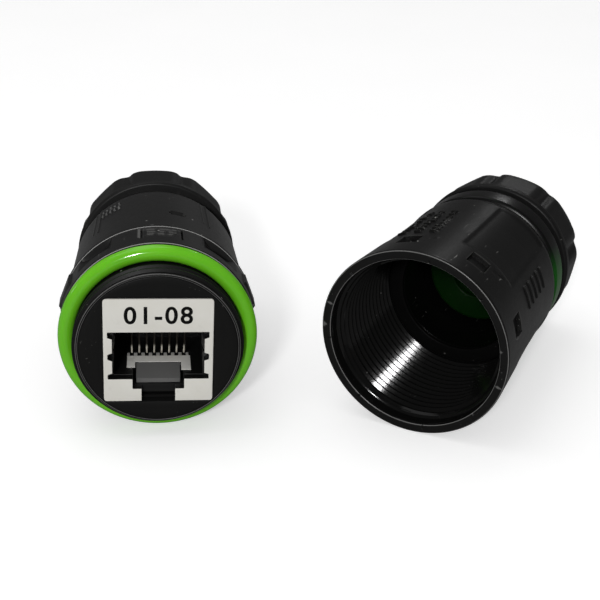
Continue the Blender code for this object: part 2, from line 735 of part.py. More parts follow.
def main():
    clear_scene()
    collection(PARTS)
    collection(CUTTERS)
    root = empty("connector_pair", (0.0, 0.0, 0.0))
    build_jack_half(root)
    build_sleeve_half(root)
    pole = swing_pole()
    empty("swing_pole", (pole.x, pole.y, OUTER_R), parent=root)
    shift = centre_on_floor(root)
    print("pair shifted by, mm:", [round(value, 4) for value in shift])
    for name in ("jack_axis", "sleeve_axis", "swing_pole", "contact_hinge"):
        place_m = bpy.data.objects[name].matrix_world.translation
        print(name, [round(value, 6) for value in place_m])


main()
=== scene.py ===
"""Looks of a weatherproof in-line RJ45 connector pair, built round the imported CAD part.

Lengths are in millimetres and become metres when a mesh is made. Each half is modelled in its own
frame: +Z points out of its mouth, +Y is up and +X is right, seen from the front. A depth is a
distance behind the mouth. A compass angle runs clockwise from the top, seen from the front.
Most pieces are grids: rows of points round the half's axis, each with a radius and a depth.
"""

import json
import math

import bmesh
import bpy
import numpy as np
from mathutils import Matrix, Vector


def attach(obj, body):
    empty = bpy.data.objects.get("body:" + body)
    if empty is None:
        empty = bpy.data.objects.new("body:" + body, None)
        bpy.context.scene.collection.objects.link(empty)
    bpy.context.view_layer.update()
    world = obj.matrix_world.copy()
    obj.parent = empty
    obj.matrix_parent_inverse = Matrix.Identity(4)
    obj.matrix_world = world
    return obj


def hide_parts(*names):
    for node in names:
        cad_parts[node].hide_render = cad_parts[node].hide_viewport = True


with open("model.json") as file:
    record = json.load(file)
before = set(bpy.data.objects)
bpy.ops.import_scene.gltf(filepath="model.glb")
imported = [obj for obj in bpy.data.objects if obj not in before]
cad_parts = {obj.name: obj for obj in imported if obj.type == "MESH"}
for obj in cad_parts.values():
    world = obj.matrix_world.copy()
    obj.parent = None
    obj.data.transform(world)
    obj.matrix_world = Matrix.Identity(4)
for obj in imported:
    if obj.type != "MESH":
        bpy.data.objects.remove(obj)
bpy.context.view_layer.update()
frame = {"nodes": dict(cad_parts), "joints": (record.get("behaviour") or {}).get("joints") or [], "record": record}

MM = 0.001
TAU = 2 * math.pi

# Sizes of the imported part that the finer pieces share.
PITCH = 1.2
MATING_GAP = 0.5
SHOULDER = 31.0
NUT_FRONT = SHOULDER + 0.65
NUT_BACK = SHOULDER + 11.4
NUT_FLOOR = SHOULDER + 9.7
LABEL_W = 14.4
LABEL_H = 15.0
LABEL_RISE = -0.2
WINDOW_RISE = -0.5
LABEL_TOP = LABEL_RISE + LABEL_H / 2
PORT_TOP = LABEL_TOP - 4.8
PORT_FLOOR = LABEL_TOP - 11.64
LATCH_FLOOR = LABEL_TOP - 13.1
CONTACT_PITCH = 1.016
JACK_ROLL = 2.8                # degrees clockwise, seen from the front
COLLAR_FRONT = 5.1
BARREL_R = 9.5
SLEEVE_WALL_R = 11.5
NOSE_R = 10.9


# --- the two halves' frames ---

def half_frame(joint_name, mount_name):
    """Half frame to row frame: a joint gives the axis line, a mount gives the mouth's plane."""
    joint = next(item for item in frame["joints"] if item["name"] == joint_name)
    mount = next(item for item in frame["record"]["mounts"] if item["name"] == mount_name)
    outward = Vector(mount["axis"]).normalized()
    on_axis = Vector(joint["pos_m"])
    origin = on_axis + outward * (Vector(mount["pos_m"]) - on_axis).dot(outward)
    up = Vector((0.0, 0.0, 1.0))
    turn = Matrix((up.cross(outward), up, outward)).transposed().to_4x4()
    return Matrix.Translation(origin) @ turn


JACK = half_frame("jack_nut_turn", "jack_nose_face") @ Matrix.Rotation(-math.radians(JACK_ROLL), 4, "Z")
SLEEVE = half_frame("sleeve_turn", "sleeve_rim")


# --- materials ---

def add(tree, kind, inputs=None, **settings):
    """A shader node with its settings, and with its inputs set to values or linked to outputs."""
    made = tree.nodes.new("ShaderNode" + kind)
    for key, value in settings.items():
        setattr(made, key, value)
    for key, value in (inputs or {}).items():
        if isinstance(value, bpy.types.NodeSocket):
            tree.links.new(value, made.inputs[key])
        else:
            made.inputs[key].default_value = value
    return made


def start_material(name):
    made = bpy.data.materials.new(name)
    made.use_nodes = True
    tree = made.node_tree
    return made, tree, tree.nodes["Principled BSDF"]


def grey(level, warm=0.0):
    """A near-neutral colour at a linear level; warm above 0 leans it to yellow."""
    return (level * (1 + warm / 4), level, level * (1 - warm), 1.0)


def step_up(tree, value, low, high):
    """0 below low, 1 above high and a smooth rise between them."""
    return add(tree, "MapRange", {"Value": value, "From Min": low, "From Max": high},
               interpolation_type="SMOOTHSTEP").outputs["Result"]


def maths(tree, operation, first, second=0.0, third=0.0):
    return add(tree, "Math", {0: first, 1: second, 2: third}, operation=operation).outputs[0]


def mix(tree, share, first, second):
    made = add(tree, "Mix", {"Factor": share, "A": first, "B": second}, data_type="RGBA")
    return made.outputs["Result"]


def noise(tree, place, scale, detail=2.0, rough=0.5):
    return add(tree, "TexNoise", {"Vector": place, "Scale": scale, "Detail": detail,
                                  "Roughness": rough}).outputs["Fac"]


def half_place(tree, half):
    """Coordinates in a half's own frame, in metres."""
    coords = add(tree, "TexCoord").outputs["Object"]
    place = half.to_translation()
    turn = half.to_euler()
    return add(tree, "Mapping", {"Vector": coords, "Location": place, "Rotation": turn},
               vector_type="TEXTURE").outputs["Vector"]


def specks(tree, place, scale, size, share):
    """Small dots: the middles of a share of the cells of a Voronoi pattern."""
    cells = add(tree, "TexVoronoi", {"Vector": place, "Scale": scale})
    near = step_up(tree, cells.outputs["Distance"], size, size * 0.6)
    chosen = add(tree, "SeparateColor", {"Color": cells.outputs["Color"]}).outputs[0]
    return maths(tree, "MULTIPLY", near, maths(tree, "LESS_THAN", chosen, share))


def scratches(tree, place, stretch, scale, low):
    """Fine broken lines: noise drawn out along one direction, and only its crests."""
    drawn = add(tree, "Mapping", {"Vector": place, "Scale": stretch}).outputs["Vector"]
    lines = noise(tree, drawn, scale, 3.0, 0.6)
    patches = noise(tree, place, 260.0, 2.0)
    return maths(tree, "MULTIPLY", step_up(tree, lines, low, low + 0.08),
                 step_up(tree, patches, 0.5, 0.62))


def edge_wear_and_sheen(tree):
    """1 on pointed outside edges, which are lightened both for scuffing and as painted edge highlights, and 0 on
    flat and hollow places.
    """
    return step_up(tree, add(tree, "NewGeometry").outputs["Pointiness"], 0.53, 0.62)


def dress(tree, shader, colour, spread, height, strength, distance):
    """Gives a shader its colour, its roughness and a bump from a height pattern."""
    bump = add(tree, "Bump", {"Height": height, "Strength": strength, "Distance": distance}).outputs[0]
    tree.links.new(colour, shader.inputs["Base Color"])
    tree.links.new(spread, shader.inputs["Roughness"])
    tree.links.new(bump, shader.inputs["Normal"])


NYLON_WARM = 0.02


def moulded(name, half, level, rough, grain, wear_and_sheen, dust=0.35, shine=0.25):
    """Black moulded nylon: tone drift, fine grain, lighter scuffed edges that double as painted edge highlights,
    hairline scratches and dust.
    """
    made, tree, shader = start_material(name)
    place = half_place(tree, half)
    drift = noise(tree, place, 95.0, 3.0)
    fine = noise(tree, place, 5200.0, 2.0, 0.6)
    coarse = noise(tree, place, 900.0, 3.0)
    colour = mix(tree, drift, grey(level * 0.75, NYLON_WARM), grey(level * 1.35, NYLON_WARM))
    # Pointed edges are lightened: partly scuffing, partly a painted edge highlight.
    worn_and_sheen = maths(tree, "MULTIPLY", edge_wear_and_sheen(tree), wear_and_sheen * 0.8)
    colour = mix(tree, worn_and_sheen, colour, grey(0.13, 0.03))
    lines = scratches(tree, place, (7.0, 7.0, 0.5), 420.0, 0.66)
    dots = specks(tree, place, 620.0, 0.11, 0.09)
    marks = maths(tree, "MAXIMUM", dots, maths(tree, "MULTIPLY", lines, 0.5))
    marks = maths(tree, "MULTIPLY", marks, dust)
    colour = mix(tree, marks, colour, grey(0.40, 0.05))
    spread = maths(tree, "MULTIPLY_ADD", fine, 0.16, rough - 0.08)
    spread = maths(tree, "ADD", spread, maths(tree, "MULTIPLY", coarse, 0.08))
    spread = maths(tree, "ADD", spread, maths(tree, "MULTIPLY", marks, 0.25))
    height = maths(tree, "ADD", fine, maths(tree, "MULTIPLY", coarse, 0.8))
    height = maths(tree, "SUBTRACT", height, maths(tree, "MULTIPLY", lines, 0.6))
    dress(tree, shader, colour, spread, height, grain, 0.02 * MM)
    shader.inputs["Specular IOR Level"].default_value = shine
    return made


def silicone(name, half, deep, bright, rough, shade=None, dusty=0.3, shine=0.5):
    """Green silicone: colour that deepens in patches, a soft skin and a little dust.

    shade is (low, high) places along the half's lower right direction, in millimetres: painted shade makes the
    rubber nearly black before low, and it has its full colour after high."""
    made, tree, shader = start_material(name)
    place = half_place(tree, half)
    drift = noise(tree, place, 140.0, 2.0)
    fine = noise(tree, place, 3800.0, 2.0)
    colour = mix(tree, drift, (*deep, 1.0), (*bright, 1.0))
    dots = specks(tree, place, 520.0, 0.09, 0.07)
    colour = mix(tree, maths(tree, "MULTIPLY", dots, dusty), colour, (0.35, 0.45, 0.30, 1.0))
    if shade:
        parts = add(tree, "SeparateXYZ", {"Vector": place}).outputs
        along = maths(tree, "MULTIPLY", maths(tree, "SUBTRACT", parts["X"], parts["Y"]), 0.7071)
        lit = step_up(tree, along, shade[0] * MM, shade[1] * MM)
        # Painted shade: the rubber is darkened to near-black away from the half's lower right.
        colour = mix(tree, lit, grey(0.003), colour)
    spread = maths(tree, "ADD", maths(tree, "MULTIPLY", fine, 0.10), rough)
    dress(tree, shader, colour, spread, fine, 0.15, 0.01 * MM)
    shader.inputs["Specular IOR Level"].default_value = shine
    shader.inputs["Subsurface Weight"].default_value = 0.15
    shader.inputs["Subsurface Radius"].default_value = (0.3, 1.0, 0.2)
    shader.inputs["Subsurface Scale"].default_value = 0.6 * MM
    return made


def light_plastic(name, half, level, warm, rough, stain):
    """Pale engineering plastic: warm drift, grime in soft patches and a matt grain."""
    made, tree, shader = start_material(name)
    place = half_place(tree, half)
    drift = noise(tree, place, 160.0, 4.0, 0.6)
    fine = noise(tree, place, 6500.0, 2.0)
    colour = mix(tree, drift, grey(level * 0.88, warm * 1.6), grey(level * 1.08, warm * 0.6))
    grime = step_up(tree, noise(tree, place, 420.0, 5.0, 0.7), 0.58, 0.72)
    colour = mix(tree, maths(tree, "MULTIPLY", grime, stain), colour, grey(level * 0.45, 0.12))
    dots = specks(tree, place, 900.0, 0.07, 0.08)
    colour = mix(tree, maths(tree, "MULTIPLY", dots, 0.35), colour, grey(0.12, 0.1))
    spread = maths(tree, "ADD", maths(tree, "MULTIPLY", fine, 0.15), rough)
    dress(tree, shader, colour, spread, fine, 0.3, 0.015 * MM)
    return made


def metal(name, half, colour, rough, brush=(1.0, 1.0, 14.0), shaded_above=None, metallic=1.0):
    """Plated sheet or wire: drawn lines and dull patches.

    shaded_above is a height in millimetres: the plating keeps its colour below it, and above it painted shade
    turns it near-black, where the upper wires lie in shadow."""
    made, tree, shader = start_material(name)
    place = half_place(tree, half)
    drawn = add(tree, "Mapping", {"Vector": place, "Scale": brush}).outputs["Vector"]
    lines = noise(tree, drawn, 1600.0, 3.0, 0.7)
    patches = noise(tree, place, 500.0, 3.0)
    dull = tuple(channel * 0.55 for channel in colour)
    finish = mix(tree, step_up(tree, patches, 0.45, 0.75), (*colour, 1.0), (*dull, 1.0))
    spread = maths(tree, "ADD", maths(tree, "MULTIPLY", lines, 0.25), rough)
    if shaded_above is not None:
        height = add(tree, "SeparateXYZ", {"Vector": place}).outputs["Y"]
        upper_shade = step_up(tree, height, (shaded_above - 0.5) * MM, (shaded_above + 0.5) * MM)
        # Painted shade: above the height the plating turns near-black, for wires lying in shadow.
        finish = mix(tree, upper_shade, finish, (0.010, 0.007, 0.004, 1.0))
    dress(tree, shader, finish, spread, lines, 0.25, 0.01 * MM)
    shader.inputs["Metallic"].default_value = metallic
    shader.inputs["Specular IOR Level"].default_value = 0.1
    return made


def laminate(name, half):
    """Green solder mask over a woven board: a faint square weave under a glossy skin."""
    made, tree, shader = start_material(name)
    place = half_place(tree, half)
    warp = add(tree, "TexWave", {"Vector": place, "Scale": 420.0, "Distortion": 0.6}).outputs["Fac"]
    weft = add(tree, "TexWave", {"Vector": place, "Scale": 420.0, "Distortion": 0.6},
               bands_direction="Y").outputs["Fac"]
    weave = maths(tree, "MULTIPLY", warp, weft)
    colour = mix(tree, weave, (0.02, 0.12, 0.045, 1.0), (0.04, 0.20, 0.08, 1.0))
    bump = add(tree, "Bump", {"Height": weave, "Strength": 0.2, "Distance": 0.02 * MM}).outputs[0]
    tree.links.new(colour, shader.inputs["Base Color"])
    tree.links.new(bump, shader.inputs["Normal"])
    shader.inputs["Roughness"].default_value = 0.3
    return made


def printed_ink(name, half):
    """Black pad-printed ink, a little thin in places."""
    made, tree, shader = start_material(name)
    place = half_place(tree, half)
    thin = step_up(tree, noise(tree, place, 2600.0, 3.0, 0.6), 0.55, 0.8)
    colour = mix(tree, maths(tree, "MULTIPLY", thin, 0.2), grey(0.004), grey(0.05, 0.04))
    tree.links.new(colour, shader.inputs["Base Color"])
    shader.inputs["Roughness"].default_value = 0.55
    shader.inputs["Specular IOR Level"].default_value = 0.06
    return made


JACK_NYLON = moulded("jack_nylon", JACK, 0.010, 0.34, 0.35, 1.0, 0.6, shine=0.3)
# Painted highlights: the next three are bright nylon laid on chosen rows to stand for edge and thread highlights.
JACK_PAINTED_HIGHLIGHT = moulded("jack_painted_highlight_nylon", JACK, 0.30, 0.30, 0.5, 0.3, 0.9)
SLEEVE_PAINTED_HIGHLIGHT = moulded("sleeve_painted_highlight_nylon", SLEEVE, 0.14, 0.30, 0.5, 0.3, 0.9)
NOSE_PAINTED_HIGHLIGHT = moulded("nose_painted_highlight_nylon", JACK, 0.11, 0.30, 0.5, 0.3, 0.9)
JACK_NUT_NYLON = moulded("jack_nut_nylon", JACK, 0.009, 0.40, 0.3, 0.1)
JACK_NOSE_NYLON = moulded("jack_nose_nylon", JACK, 0.006, 0.40, 0.35, 0.0, 0.9, shine=0.12)
SLEEVE_NYLON = moulded("sleeve_nylon", SLEEVE, 0.006, 0.30, 0.35, 1.0, 0.9, shine=0.14)
SLEEVE_GLOSS = moulded("sleeve_gloss_nylon", SLEEVE, 0.004, 0.075, 0.12, 0.0, 0.15, shine=0.2)
NECK_NYLON = moulded("neck_nylon", SLEEVE, 0.002, 0.14, 0.12, 0.0, 0.15, shine=0.12)
SLEEVE_NUT_NYLON = moulded("sleeve_nut_nylon", SLEEVE, 0.006, 0.38, 0.3, 0.1, 0.7, shine=0.2)
JACK_PLASTIC = moulded("jack_core_plastic", JACK, 0.006, 0.30, 0.2, 0.4, 0.2)
JACK_LATCH = moulded("latch_plastic", JACK, 0.11, 0.27, 0.3, 0.4, 0.7, shine=0.5)
SLEEVE_PLASTIC = moulded("sleeve_core_plastic", SLEEVE, 0.003, 0.32, 0.2, 0.3, 0.2, shine=0.05)
JACK_GREEN = silicone("jack_green_silicone", JACK, (0.115, 0.46, 0.012), (0.18, 0.60, 0.022), 0.08)
JACK_SEAL_GREEN = silicone("jack_seal_silicone", JACK, (0.05, 0.26, 0.012), (0.09, 0.36, 0.02), 0.35)
# The neck gasket gets painted shade: near-black except towards its lower right.
SLEEVE_GREEN = silicone("sleeve_green_silicone", SLEEVE, (0.003, 0.060, 0.003), (0.004, 0.085, 0.004), 0.25,
                        shade=(3.0, 8.0), dusty=0.05, shine=0.2)
# Painted shade: the sleeve's cable seal is a much darker copy of the seal green, for its place deep in the shaded
# bore.
SHADED_SEAL_GREEN = silicone("sleeve_seal_silicone_shaded", SLEEVE, (0.001, 0.010, 0.001), (0.002, 0.018, 0.001), 0.35,
                      dusty=0.02, shine=0.08)
LABEL_PLASTIC = light_plastic("label_plastic", JACK, 0.74, 0.075, 0.42, 0.12)
COMB_PLASTIC = light_plastic("comb_plastic", JACK, 0.52, 0.05, 0.34, 0.4)
PORT_FLOOR_SHEET = light_plastic("port_floor_sheet_plastic", JACK, 0.80, 0.05, 0.34, 0.5)
TERMINAL_PLASTIC = light_plastic("terminal_plastic", JACK, 0.50, 0.03, 0.40, 0.3)
JACK_ACETAL = light_plastic("jack_washer_acetal", JACK, 0.55, 0.02, 0.32, 0.2)
SLEEVE_ACETAL = light_plastic("sleeve_washer_acetal", SLEEVE, 0.30, 0.02, 0.32, 0.4)
TINNED_STEEL = metal("tinned_steel", JACK, (0.62, 0.61, 0.60), 0.20)
GOLD_PLATE = metal("gold_plate", JACK, (0.90, 0.74, 0.45), 0.16, (14.0, 1.0, 1.0))
# Painted shade darkens the contact wires above -2.25 mm, where they lie in shadow.
CONTACT_PLATE = metal("contact_plate", JACK, (0.95, 0.90, 0.78), 0.22, (14.0, 1.0, 1.0), shaded_above=-2.25,
                      metallic=0.2)
BOARD = laminate("board_laminate", JACK)
INK = printed_ink("label_ink", JACK)


# --- grids ---

def places(low, high, spacing, stops=()):
    """Sorted places from low to high: every stop, and steps of at most spacing between them."""
    marks = sorted({low, high, *(round(stop, 5) for stop in stops if low < stop < high)})
    found = [low]
    for start, end in zip(marks, marks[1:]):
        count = max(1, math.ceil((end - start) / spacing - 1e-6))
        found += [start + (end - start) * (number + 1) / count for number in range(count)]
    return np.array(found)


def all_round(spacing, stops=()):
    """Compass angles once round, from -180 to 180, at most spacing apart."""
    return places(-180.0, 180.0, spacing, stops)


def softened(points, segments=3):
    """A (radius, depth, fillet) profile with each corner turned into an arc of that fillet."""
    found = []
    count = len(points)
    for number, (radius, depth, fillet) in enumerate(points):
        corner = np.array((radius, depth))
        before = np.array(points[number - 1][:2]) - corner
        after = np.array(points[(number + 1) % count][:2]) - corner
        reach = min(fillet, 0.45 * np.linalg.norm(before), 0.45 * np.linalg.norm(after))
        if reach < 0.005:
            found.append(corner)
            continue
        start = corner + before / np.linalg.norm(before) * reach
        end = corner + after / np.linalg.norm(after) * reach
        for part in range(segments + 1):
            share = part / segments
            rest = 1 - share
            found.append(rest ** 2 * start + 2 * share * rest * corner + share ** 2 * end)
    return found


def rows_of(points, angle):
    """Plain rows, the same all round, from (radius, depth) points."""
    flat = np.ones_like(angle)
    return [(radius * flat, depth * flat) for radius, depth in points]


def grid(name, half, rows, angle, material, body, replaced, finishes=()):
    """A closed ring-shaped piece from rows of (radius, depth), which close up on the first row.

    finishes are (material, numbers of the rows that have it instead of the main material)."""
    radius = np.array([row[0] for row in rows])
    depth = np.array([row[1] for row in rows])
    turn = np.radians(angle)
    local = np.stack([radius * np.sin(turn), radius * np.cos(turn), -depth], axis=-1) * MM
    spin = np.array(half.to_3x3())
    world = local @ spin.T + np.array(half.to_translation())
    count_rows, count_columns = radius.shape
    first = np.arange(count_rows)[:, None] * count_columns + np.arange(count_columns - 1)[None, :]
    following = (np.arange(count_rows)[:, None] + 1) % count_rows * count_columns
    following = following + np.arange(count_columns - 1)[None, :]
    quads = np.stack([first, first + 1, following + 1, following], axis=-1).reshape(-1, 4)
    mesh = bpy.data.meshes.new(name)
    mesh.from_pydata(world.reshape(-1, 3).tolist(), [], quads.tolist())
    marks = np.zeros(count_rows, dtype=np.int32)
    for number, (_, finished_rows) in enumerate(finishes):
        marks[list(finished_rows)] = number + 1
    mesh.polygons.foreach_set("material_index", np.repeat(marks, count_columns - 1))
    extra = [finish for finish, _ in finishes]
    return settle(name, mesh, material, body, replaced, extra)


def settle(name, mesh, material, body, replaced=(), extra=(), sharp=38.0, merge=0.0015):
    """Cleans a mesh, gives it its material and makes it a piece that rides on a CAD body."""
    form = bmesh.new()
    form.from_mesh(mesh)
    bmesh.ops.remove_doubles(form, verts=form.verts, dist=merge * MM)
    bmesh.ops.dissolve_degenerate(form, edges=form.edges, dist=0.0005 * MM)
    bmesh.ops.recalc_face_normals(form, faces=form.faces)
    form.to_mesh(mesh)
    form.free()
    mesh.materials.append(material)
    for finish in extra:
        mesh.materials.append(finish)
    mesh.shade_smooth()
    mesh.set_sharp_from_angle(angle=math.radians(sharp))
    piece = bpy.data.objects.new(name, mesh)
    bpy.context.scene.collection.objects.link(piece)
    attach(piece, body)
    if replaced:
        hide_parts(*replaced)
    return piece


def wrapped(angle):
    """The same angle, from -180 to 180 degrees."""
    return (angle + 180.0) % 360.0 - 180.0


def off_by(angle, centre):
    """Degrees from a centre angle, from -180 to 180."""
    return wrapped(angle - centre)


def smooth(share):
    """A smooth rise from 0 to 1."""
    share = np.clip(share, 0.0, 1.0)
    return share * share * (3 - 2 * share)


def patch(feature, angle, depth, radius):
    """What a raised or sunk patch adds to the radius: its rise on it, and 0 off it.

    A feature is (centre angle, degrees wide, front depth, back depth, rise, width of its slopes)."""
    centre, width, front, back, rise, soft = feature
    across = (width / 2 - np.abs(off_by(angle, centre))) * math.pi / 180 * radius
    along = np.minimum(depth - front, back - depth)
    return rise * smooth(np.minimum(across, along) / soft)


def patch_stops(features, radius):
    """The angles and depths where patches begin and end, so that grid lines fall on them."""
    angles = set()
    depths = set()
    for centre, width, front, back, _, soft in features:
        slope = math.degrees(soft / radius)
        for side in (-1, 1):
            edge = centre + side * width / 2
            for place in (edge, edge - side * slope / 2, edge - side * slope):
                angles.add(wrapped(place))
        depths |= {front, front + soft / 2, front + soft, back - soft, back - soft / 2, back}
    return angles, depths


def relief(features, angle, depth, radius):
    return sum(patch(feature, angle, depth, radius) for feature in features)


def thread_radius(offset, wall, crest, foot_half, top_half):
    """A ridge's radius at a distance in millimetres from its middle, along the axis."""
    share = np.clip((foot_half - np.abs(offset)) / (foot_half - top_half), 0.0, 1.0)
    return wall + (crest - wall) * share


def thread_rows(angle, start, end, middle_at_top, wall, crest, foot_half, top_half, fade):
    """Rows along a right-hand helix between two depths, which the rows are held between.

    middle_at_top is the depth of one ridge's middle at compass angle 0. A ridge goes deeper
    clockwise, by the pitch in one turn. The ridge grows from nothing over fade at both ends."""
    steps = sorted({0.0, top_half, foot_half, (top_half + foot_half) / 2, PITCH / 2})
    offsets = sorted({-step for step in steps if step < PITCH / 2} | set(steps))
    shift = PITCH * angle / 360.0
    first = math.floor((start - middle_at_top - PITCH) / PITCH)
    last = math.ceil((end - middle_at_top + PITCH) / PITCH)
    rows = []
    for ridge in range(first, last + 1):
        for offset in offsets:
            depth = np.clip(middle_at_top + ridge * PITCH + shift + offset, start, end)
            radius = thread_radius(offset, wall, crest, foot_half, top_half)
            grown = np.clip(np.minimum(depth - start, end - depth) / fade, 0.0, 1.0)
            rows.append((wall + (radius - wall) * grown, depth))
    return rows


# --- sleeve half ---

SLEEVE_SKIN = (
    (13.1, 0.0), (13.3, 0.2), (13.05, 4.0), (12.5, 12.0), (12.2, 19.0), (12.05, 24.6), (11.6, 25.9),
    (11.1, 26.3),
)
RIM_NICKS = (8, 47, 94, 133, 171, 218, 262, 313)
NICK_HALF = 0.9
SLEEVE_PIP = (1.0, 6.9)        # compass angle and depth
SLEEVE_TICK = (45.5, 6.8)


def skin_radius(skin, depth):
    return np.interp(depth, [point[1] for point in skin], [point[0] for point in skin])


def stroke_block(centre, front, rows, length, seed):
    """Short raised strokes in rows along the axis: stands for moulded lettering, and says nothing."""
    random = np.random.default_rng(seed)
    row_step = 9.6
    rise = 0.26
    slope = 0.1
    found = []
    for row in range(rows):
        middle = centre + (row - (rows - 1) / 2) * row_step
        depth = front + random.uniform(0.0, 0.3)
        while depth < front + length:
            step = random.uniform(1.0, 1.7)
            wide = random.uniform(3.4, 6.2)
            place = middle + random.uniform(-1.0, 1.0)
            found.append((place, wide, depth, depth + 0.42, rise, slope))
            if random.random() < 0.55:
                found.append((place + wide / 3, 1.9, depth + 0.35, depth + step - 0.3, rise, slope))
            depth += step
    return found


def sleeve_features():
    """Eight pockets behind the rim, four saddles, and strokes and bars between the saddles."""
    found = []
    for number in range(8):
        found.append((31 + 45 * number, 13.0, 3.8, 7.0, -0.62, 0.12))
    for number in range(4):
        found.append((35.5 + 90 * number, 41.0, 8.0, 24.2, -0.16, 0.55))
    for number in (0, 2):
        found += stroke_block(-16 + 90 * number, 8.7, 3, 10.4, 4 + number)
    for number in (1, 3):
        for front in (11.6, 13.5, 15.4, 17.3, 19.2):
            found.append((-20.5 + 90 * number, 15.0, front, front + 0.75, 0.20, 0.12))
    return found


def coupling_sleeve():
    """Screw sleeve: pockets, shallow saddles, raised strokes, a rolled rim and the inside thread."""
    features = sleeve_features()
    stops, depths = patch_stops(features, 12.6)
    stops |= {wrapped(place + step) for place in RIM_NICKS for step in (-NICK_HALF, 0.0, NICK_HALF)}
    angle = all_round(1.2, stops)
    skin = places(0.2, 25.9, 0.5, depths | {4.0, 12.0, 19.0, 24.6})
    flat = np.ones_like(angle)
    nick = sum(np.clip(1.0 - np.abs(off_by(angle, place)) / NICK_HALF, 0.0, 1.0) for place in RIM_NICKS)
    rim = ((12.05, 0.12), (12.12, 0.04), (12.25, 0.0), (12.5, 0.0), (12.56, 0.0), (13.05, 0.0),
           (13.15, 0.02), (13.24, 0.09))
    # The rim's inner and outer edge rows get painted highlight lines.
    rim_highlight_rows = (0, 6)
    rows = [(radius * flat, depth + 0.16 * nick * (12.08 < radius < 12.53)) for radius, depth in rim]
    for depth in skin:
        base = float(skin_radius(SLEEVE_SKIN, depth))
        radius = base + relief(features, angle, depth, base)
        radius += 0.10 * np.exp(-off_by(angle, SLEEVE_PIP[0]) ** 2 - ((depth - SLEEVE_PIP[1]) / 0.25) ** 2)
        along = off_by(angle, SLEEVE_TICK[0]) / 6.5
        slanted = np.abs(depth - (SLEEVE_TICK[1] + 0.7 * along)) < 0.14
        radius -= 0.10 * np.where(slanted & (np.abs(along) < 1.0), 1.0, 0.0)
        rows.append((radius, depth * flat))
    back = softened([(11.6, 25.9, 0.0), (11.1, 26.3, 0.15), (10.45, 26.3, 0.1), (10.45, 24.0, 0.1),
                     (SLEEVE_WALL_R, 24.0, 0.1), (SLEEVE_WALL_R, 21.0, 0.0)])
    rows += rows_of(back[1:], angle)
    inner_from = len(rows)
    top = -MATING_GAP - PITCH / 4
    rows += thread_rows(angle, 1.95, 19.3, top, SLEEVE_WALL_R, 11.02, 0.42, 0.10, 0.7)[::-1]
    rows += rows_of([(SLEEVE_WALL_R, 1.95), (11.62, 1.80), (11.88, 1.66), (11.9, 1.55), (11.9, 0.5),
                     (11.93, 0.34)], angle)
    grid("coupling_sleeve_visual", SLEEVE, rows, angle, SLEEVE_NYLON, "sleeve", ("coupling_sleeve",),
         [(SLEEVE_GLOSS, range(inner_from - 2, len(rows))), (SLEEVE_PAINTED_HIGHLIGHT, rim_highlight_rows)])


def gland_barrel(angle, inside):
    """Rows of a half's gland barrel: its thread, its end and then the given profile inside it."""
    rows = thread_rows(angle, 31.6, 37.0, 0.0, BARREL_R, 9.2, 0.38, 0.12, 0.4)
    end = [(BARREL_R, 37.1, 0.0), (9.1, 37.5, 0.1), (8.3, 37.5, 0.15)]
    return rows + rows_of(softened([*end, *inside]), angle)


def rear_body():
    """Neck, glossy collar and gland barrel of the sleeve half, with the barrel's thread cut in."""
    angle = all_round(2.0)
    front = softened([
        (8.7, 18.4, 0.1), (9.65, 18.4, 0.1), (9.65, 19.2, 0.0), (10.2, 19.2, 0.15), (10.2, 28.35, 0.0),
        (11.35, 28.35, 0.1), (11.5, 28.5, 0.1), (11.5, 30.65, 0.25), (11.15, SHOULDER, 0.1),
        (BARREL_R, SHOULDER, 0.0),
    ])
    rows = rows_of(front, angle) + gland_barrel(angle, [(8.3, 24.6, 0.0), (8.7, 24.0, 0.0)])
    grid("rear_body_visual", SLEEVE, rows, angle, NECK_NYLON, "cable_half", ("rear_body",))


def sleeve_rings():
    """The small turned rings inside the sleeve half and the green gasket on its neck."""
    angle = all_round(2.5)
    snap = softened([(8.7, 17.6, 0.12), (10.75, 17.6, 0.2), (10.75, 19.1, 0.12), (9.75, 19.1, 0.1),
                     (9.75, 18.3, 0.05), (8.7, 18.3, 0.1)])
    grid("retaining_ring_visual", SLEEVE, rows_of(snap, angle), angle, SLEEVE_PLASTIC, "cable_half",
         ("retaining_ring",))
    washer = softened([(10.3, 23.2, 0.1), (10.9, 23.2, 0.1), (10.9, 23.9, 0.1), (10.3, 23.9, 0.1)])
    grid("thrust_washer_visual", SLEEVE, rows_of(washer, angle), angle, SLEEVE_ACETAL, "sleeve_carriage",
         ("thrust_washer",))
    gasket = softened([(10.25, 26.75, 0.1), (11.2, 26.75, 0.3), (11.72, 27.1, 0.35), (11.76, 29.7, 0.3),
                       (11.53, 30.0, 0.05), (11.53, 28.33, 0.05), (10.25, 28.33, 0.1)], segments=5)
    grid("neck_gasket_visual", SLEEVE, rows_of(gasket, angle), angle, SLEEVE_GREEN, "cable_half",
         ("neck_gasket",))


# --- cable gland, used by both halves ---

